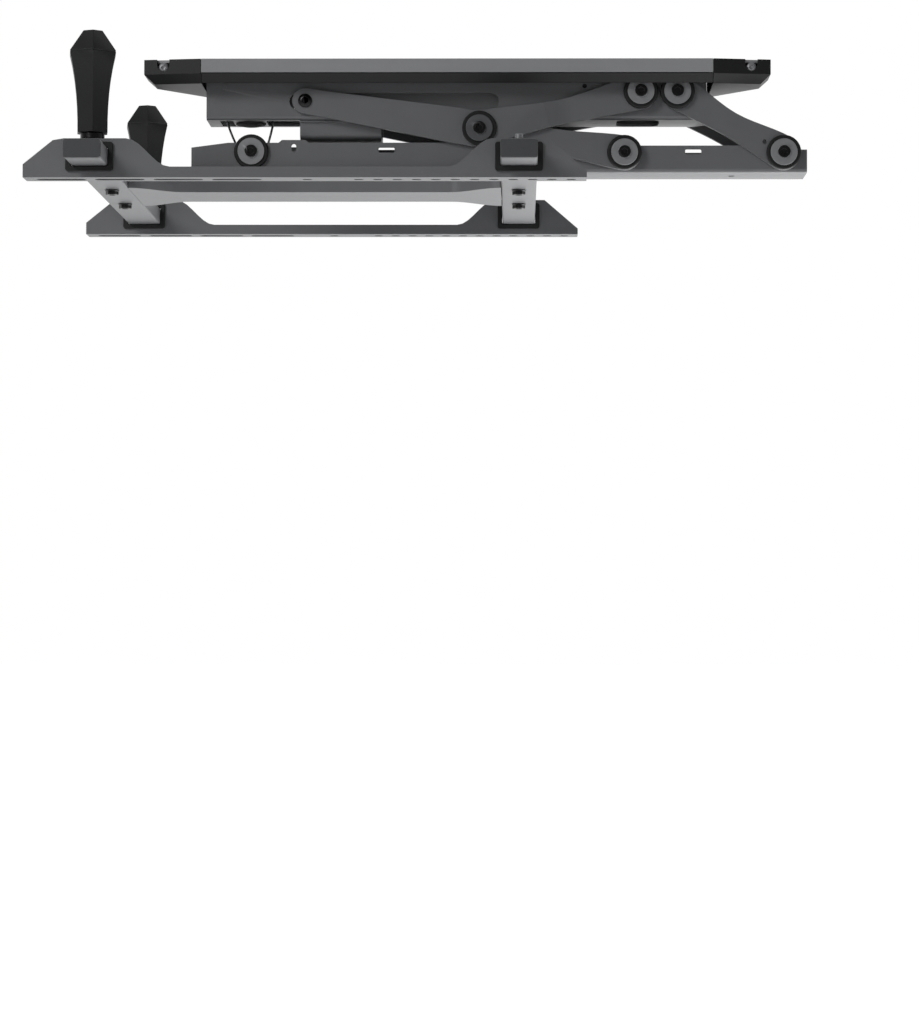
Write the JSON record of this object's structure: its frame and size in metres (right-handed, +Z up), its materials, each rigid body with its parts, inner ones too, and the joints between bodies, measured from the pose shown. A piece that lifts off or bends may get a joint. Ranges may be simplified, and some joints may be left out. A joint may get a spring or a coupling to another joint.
{
  "type": "motorized ceiling television mount",
  "caption": "Motorized flip-down ceiling mount for a flat television: covered ceiling unit, cable winch, scissor links and a lower frame with clamped rails, folded up.",
  "frame": {"origin": "Centre of the ceiling plate's top face, where it meets the ceiling.", "axes": "+Z up out of the ceiling face, +X along the unit towards its hinged end, +Y across it, away from the picture's camera."},
  "size_m": [0.6544, 0.5, 0.1223],
  "materials": {
    "grey_powder_coat": "fine textured powder coat, satin mid grey",
    "dark_powder_coat": "fine textured powder coat, satin dark grey",
    "black_plastic": "moulded, fine matt texture",
    "zinc_steel": "turned and zinc plated",
    "black_steel": "black oxide, satin",
    "black_rubber": "moulded, matt",
    "white_nylon": "natural nylon, satin",
    "circuit_board": "green solder mask"
  },
  "bodies": {
    "ceiling_base": {"ceiling_plate": "grey_powder_coat", "cover_skirt_near": "black_plastic", "cover_skirt_far": "black_plastic", "cover_end_cap_left": "black_plastic", "cover_end_cap_right": "black_plastic", "base_channel": "dark_powder_coat", "motor_cover": "dark_powder_coat", "winch_gearmotor": "zinc_steel", "rubber_bumper": "black_rubber", "control_board": "circuit_board", "shaft_steep_link": "zinc_steel", "shaft_tail_link": "zinc_steel"},
    "drum": {"winch_drum": "zinc_steel"},
    "cable_loop": {"hoist_cable": "zinc_steel"},
    "steep_link": {"shaft_middle": "zinc_steel", "steep_link_near": "dark_powder_coat", "steep_link_far": "dark_powder_coat", "ring_steep_link_near": "black_plastic", "ring_steep_link_far": "black_plastic", "ring_middle_near": "black_plastic", "ring_middle_far": "black_plastic"},
    "long_link": {"long_link_near": "dark_powder_coat", "long_link_far": "dark_powder_coat", "slide_pin_near": "black_steel", "slide_pin_far": "black_steel", "ring_frame_near": "black_plastic", "ring_frame_far": "black_plastic"},
    "slide_blocks": {"slide_block_near": "white_nylon", "slide_block_far": "white_nylon"},
    "tail_link": {"tail_link_near": "dark_powder_coat", "tail_link_far": "dark_powder_coat", "stub_tail_link_near": "zinc_steel", "stub_tail_link_far": "zinc_steel", "ring_tail_link_top_near": "black_plastic", "ring_tail_link_top_far": "black_plastic", "ring_tail_link_end_near": "black_plastic", "ring_tail_link_end_far": "black_plastic"},
    "lower_frame": {"lower_channel": "dark_powder_coat", "spine": "dark_powder_coat", "shaft_frame": "zinc_steel", "pulley_axle": "zinc_steel", "ring_pulley_near": "black_plastic", "ring_pulley_far": "black_plastic", "crossbar_left": "dark_powder_coat", "crossbar_right": "dark_powder_coat", "crossbar_cap_left_near": "black_plastic", "crossbar_cap_left_far": "black_plastic", "crossbar_cap_right_near": "black_plastic", "crossbar_cap_right_far": "black_plastic"},
    "pulley": {"cable_pulley": "white_nylon"},
    "rail_near_body": {"rail_near": "dark_powder_coat", "rail_liner_left_near": "black_plastic", "rail_liner_right_near": "black_plastic"},
    "stud_near": {"clamp_stud_near": "zinc_steel"},
    "handle_near": {"clamp_handle_near": "black_plastic"},
    "rail_far_body": {"rail_far": "dark_powder_coat", "rail_liner_left_far": "black_plastic", "rail_liner_right_far": "black_plastic"},
    "stud_far": {"clamp_stud_far": "zinc_steel"},
    "handle_far": {"clamp_handle_far": "black_plastic"}
  },
  "joints": [
    {"name": "flip", "type": "hinge", "parent": "ceiling_base", "child": "steep_link", "pos_m": [0.159, 0, -0.025], "axis": [0, -1, 0], "range_deg": [0, 54]},
    {"name": "scissor", "type": "hinge", "parent": "steep_link", "child": "long_link", "pos_m": [0.01923, 0, -0.05752], "axis": [0, -1, 0], "range_deg": [-102, 1]},
    {"name": "frame_tilt", "type": "hinge", "parent": "long_link", "child": "lower_frame", "pos_m": [0.14476, 0, -0.07808], "axis": [0, -1, 0], "range_deg": [-1, 123]},
    {"name": "slide_block_turn", "type": "hinge", "parent": "long_link", "child": "slide_blocks", "pos_m": [-0.13195, 0, -0.03277], "axis": [0, -1, 0], "range_deg": [-1, 48]},
    {"name": "tail_turn", "type": "hinge", "parent": "ceiling_base", "child": "tail_link", "pos_m": [0.1906, 0, -0.025], "axis": [0, -1, 0], "range_deg": [-51, 1]},
    {"name": "cable_travel", "type": "slide", "parent": "ceiling_base", "child": "cable_loop", "axis": [0.4764, 0, -0.8792], "range_m": [-0.002, 0.575], "deforming": ["hoist_cable"]},
    {"name": "drum_turn", "type": "hinge", "parent": "ceiling_base", "child": "drum", "pos_m": [-0.15, 0, -0.025], "axis": [0, -1, 0], "range_deg": [-10, 6600]},
    {"name": "pulley_turn", "type": "hinge", "parent": "lower_frame", "child": "pulley", "pos_m": [-0.1787, 0, -0.0767], "axis": [0, -1, 0], "range_deg": [-3650, 10]},
    {"name": "rail_near_slide", "type": "slide", "parent": "lower_frame", "child": "rail_near_body", "axis": [0, 1, 0], "range_m": [-0.04, 0.1]},
    {"name": "rail_far_slide", "type": "slide", "parent": "lower_frame", "child": "rail_far_body", "axis": [0, 1, 0], "range_m": [-0.1, 0.04]},
    {"name": "clamp_rise_near", "type": "slide", "parent": "rail_near_body", "child": "stud_near", "axis": [0, 0, 1], "range_m": [0, 0.003]},
    {"name": "handle_turn_near", "type": "hinge", "parent": "stud_near", "child": "handle_near", "pos_m": [-0.296, -0.188, -0.045], "axis": [0, 0, 1], "range_deg": [-5, 730]},
    {"name": "clamp_rise_far", "type": "slide", "parent": "rail_far_body", "child": "stud_far", "axis": [0, 0, 1], "range_m": [0, 0.003]},
    {"name": "handle_turn_far", "type": "hinge", "parent": "stud_far", "child": "handle_far", "pos_m": [-0.296, 0.212, -0.045], "axis": [0, 0, 1], "range_deg": [-5, 730]}
  ],
  "couplings": [
    {"joint": "scissor", "follows": "flip", "ratio": -1.86},
    {"joint": "frame_tilt", "follows": "flip", "ratio": 2.2538},
    {"joint": "slide_block_turn", "follows": "flip", "ratio": 0.86},
    {"joint": "tail_turn", "follows": "flip", "ratio": -0.91734},
    {"joint": "cable_travel", "follows": "flip", "m_per_rad": 0.60108},
    {"joint": "drum_turn", "follows": "flip", "ratio": 120.22},
    {"joint": "pulley_turn", "follows": "flip", "ratio": -66.026},
    {"joint": "handle_turn_near", "follows": "clamp_rise_near", "rad_per_m": 4188.8},
    {"joint": "handle_turn_far", "follows": "clamp_rise_far", "rad_per_m": 4188.8}
  ]
}
